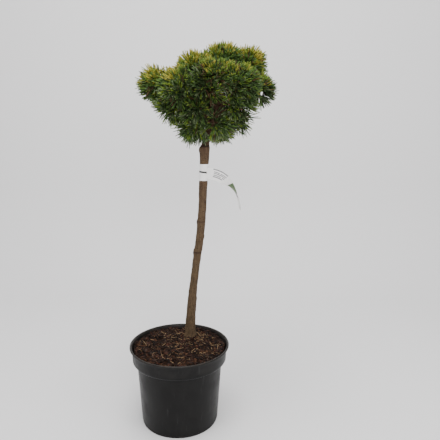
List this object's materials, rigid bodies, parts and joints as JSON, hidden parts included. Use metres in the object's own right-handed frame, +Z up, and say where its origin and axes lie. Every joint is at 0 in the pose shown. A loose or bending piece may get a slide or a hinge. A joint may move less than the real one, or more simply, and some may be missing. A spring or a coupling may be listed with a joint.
{
  "type": "potted standard dwarf pine",
  "caption": "Dwarf mountain-type pine grafted as a standard: bushy gold-tipped needle crown on a bare leaning stem, in a round black nursery pot of bark compost, with a loop label.",
  "frame": {"origin": "centre of the pot's flat underside, on the ground", "axes": "+Z up the stem; the stem leans to +X; the viewer who sees the label's free end on the right looks along +Y"},
  "size_m": [0.3733, 0.3395, 0.9885],
  "materials": {
    "black_plastic": "black blow-moulded nursery pot plastic with a slight sheen, dusty on the collar",
    "bark_compost": "moist chipped bark compost",
    "stem_bark": "thin brown pine bark, greyer and rougher towards the foot",
    "white_plastic": "thin white label plastic with plain printed bars",
    "gold_needles": "stiff waxy needles, golden olive",
    "green_needles": "stiff waxy needles, fresh to mid green",
    "dark_needles": "stiff waxy needles, deep green"
  },
  "bodies": {
    "root": {"pot": "black_plastic", "compost": "bark_compost", "stem": "stem_bark", "stem_label": "white_plastic", "bough_left": "stem_bark", "bough_low_left": "stem_bark", "bough_upper_left": "stem_bark", "bough_top": "stem_bark", "bough_upper_right": "stem_bark", "bough_right": "stem_bark", "bough_front": "stem_bark", "bough_front_right": "stem_bark", "bough_front_left": "stem_bark", "bough_mid_front": "stem_bark", "bough_mid_right": "stem_bark", "bough_low_right": "stem_bark", "bough_back_left": "stem_bark", "bough_back_right": "stem_bark", "bough_back_low": "stem_bark", "mass_left": "green_needles", "mass_low_left": "dark_needles", "mass_upper_left": "gold_needles", "mass_top": "gold_needles", "mass_upper_right": "gold_needles", "mass_right": "green_needles", "mass_front": "green_needles", "mass_front_right": "green_needles", "mass_front_left": "green_needles", "mass_mid_front": "dark_needles", "mass_mid_right": "dark_needles", "mass_low_front": "dark_needles", "mass_low_right": "dark_needles", "mass_under": "dark_needles", "mass_low_middle": "dark_needles", "mass_back_left": "green_needles", "mass_back_right": "green_needles", "mass_back_low": "dark_needles"}
  },
  "joints": []
}
